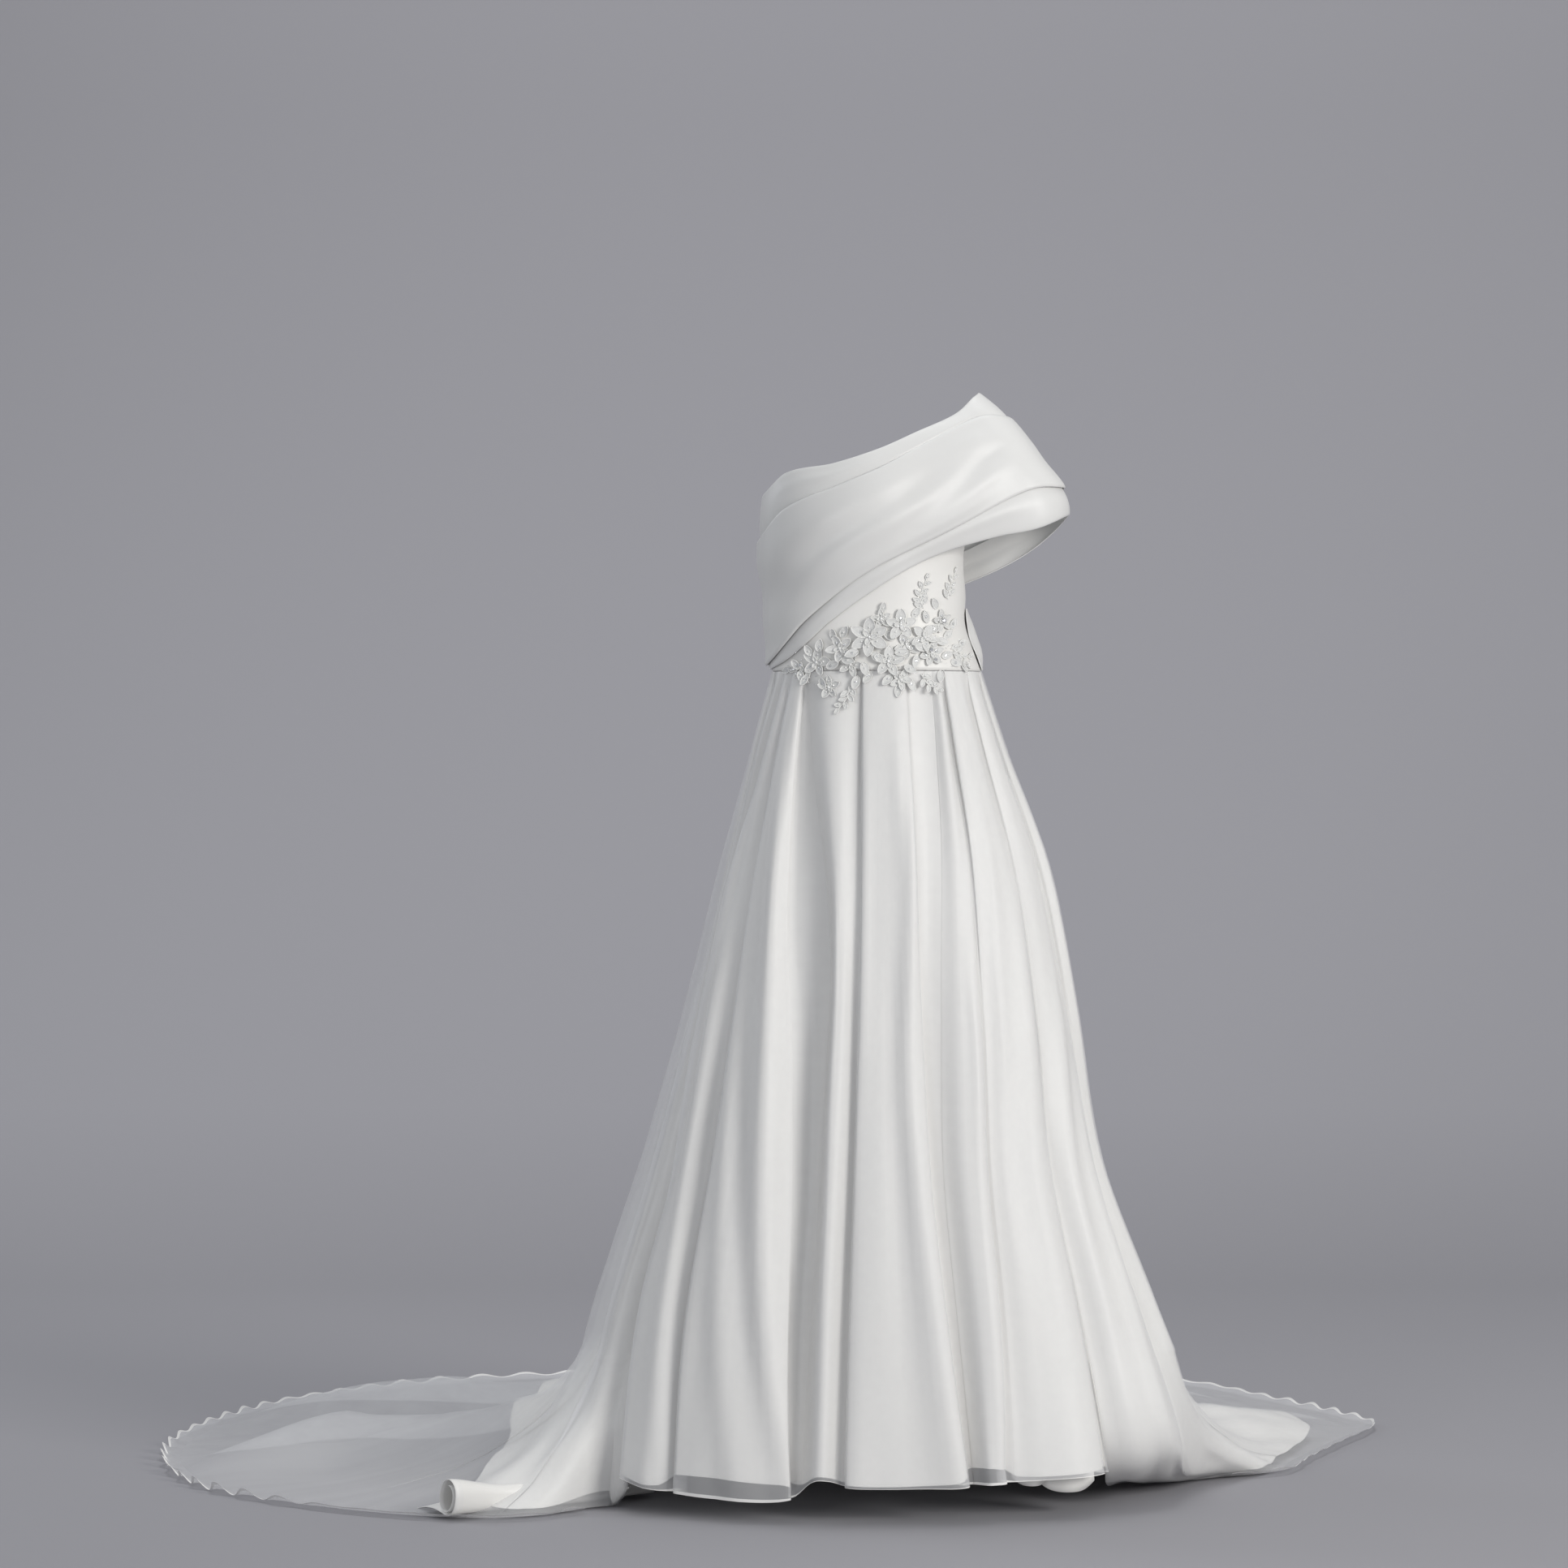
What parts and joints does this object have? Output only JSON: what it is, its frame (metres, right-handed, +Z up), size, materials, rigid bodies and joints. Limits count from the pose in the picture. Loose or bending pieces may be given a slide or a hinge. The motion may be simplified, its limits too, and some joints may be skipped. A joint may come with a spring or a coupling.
{
  "type": "wedding dress",
  "caption": "Full-length one-shoulder wedding dress: draped satin bodice with an arm loop, lace flowers at the waist, pleated organza-over-satin skirt and a wide train.",
  "frame": {"origin": "middle of the waist, on the seam between bodice and skirt, where the wearer's waist holds the dress; the floor is 1.10 m below it", "axes": "+Z up; the front of the dress faces -Y and the train lies towards +Y; +X is on the right of someone who looks at the front"},
  "size_m": [1.743, 1.5351, 1.4719],
  "materials": {
    "satin": "soft satin",
    "organza": "sheer",
    "lace": "matt with clear beads",
    "zip": "woven tape"
  },
  "bodies": {
    "root": {"bodice_front": "satin", "bodice_back_right": "satin", "bodice_back_left": "satin", "back_zip": "zip", "drape_front_top": "satin", "drape_front_main": "satin", "drape_front_lower": "satin", "drape_back_top": "satin", "drape_back_main": "satin", "drape_back_lower": "satin", "back_sash": "satin", "satin_front": "satin", "satin_side_front_left": "satin", "satin_side_front_right": "satin", "satin_side_left": "satin", "satin_side_right": "satin", "satin_back_left": "satin", "satin_back_right": "satin", "organza_front": "organza", "organza_side_front_left": "organza", "organza_side_front_right": "organza", "organza_side_left": "organza", "organza_side_right": "organza", "organza_back_left": "organza", "organza_back_right": "organza", "hem_side_left": "organza", "hem_side_right": "organza", "hem_back_left": "organza", "hem_back_right": "organza", "lace_flower_01": "lace", "lace_flower_02": "lace", "lace_flower_03": "lace", "lace_flower_04": "lace", "lace_flower_05": "lace", "lace_flower_06": "lace", "lace_flower_07": "lace", "lace_flower_08": "lace", "lace_flower_09": "lace", "lace_flower_10": "lace", "lace_flower_11": "lace", "lace_flower_12": "lace", "lace_flower_13": "lace", "lace_sprig_upper_right": "lace", "lace_sprig_far_right": "lace", "lace_sprig_right": "lace", "lace_sprig_low_right": "lace", "lace_sprig_low_left": "lace", "lace_sprig_hanging": "lace"}
  },
  "joints": []
}
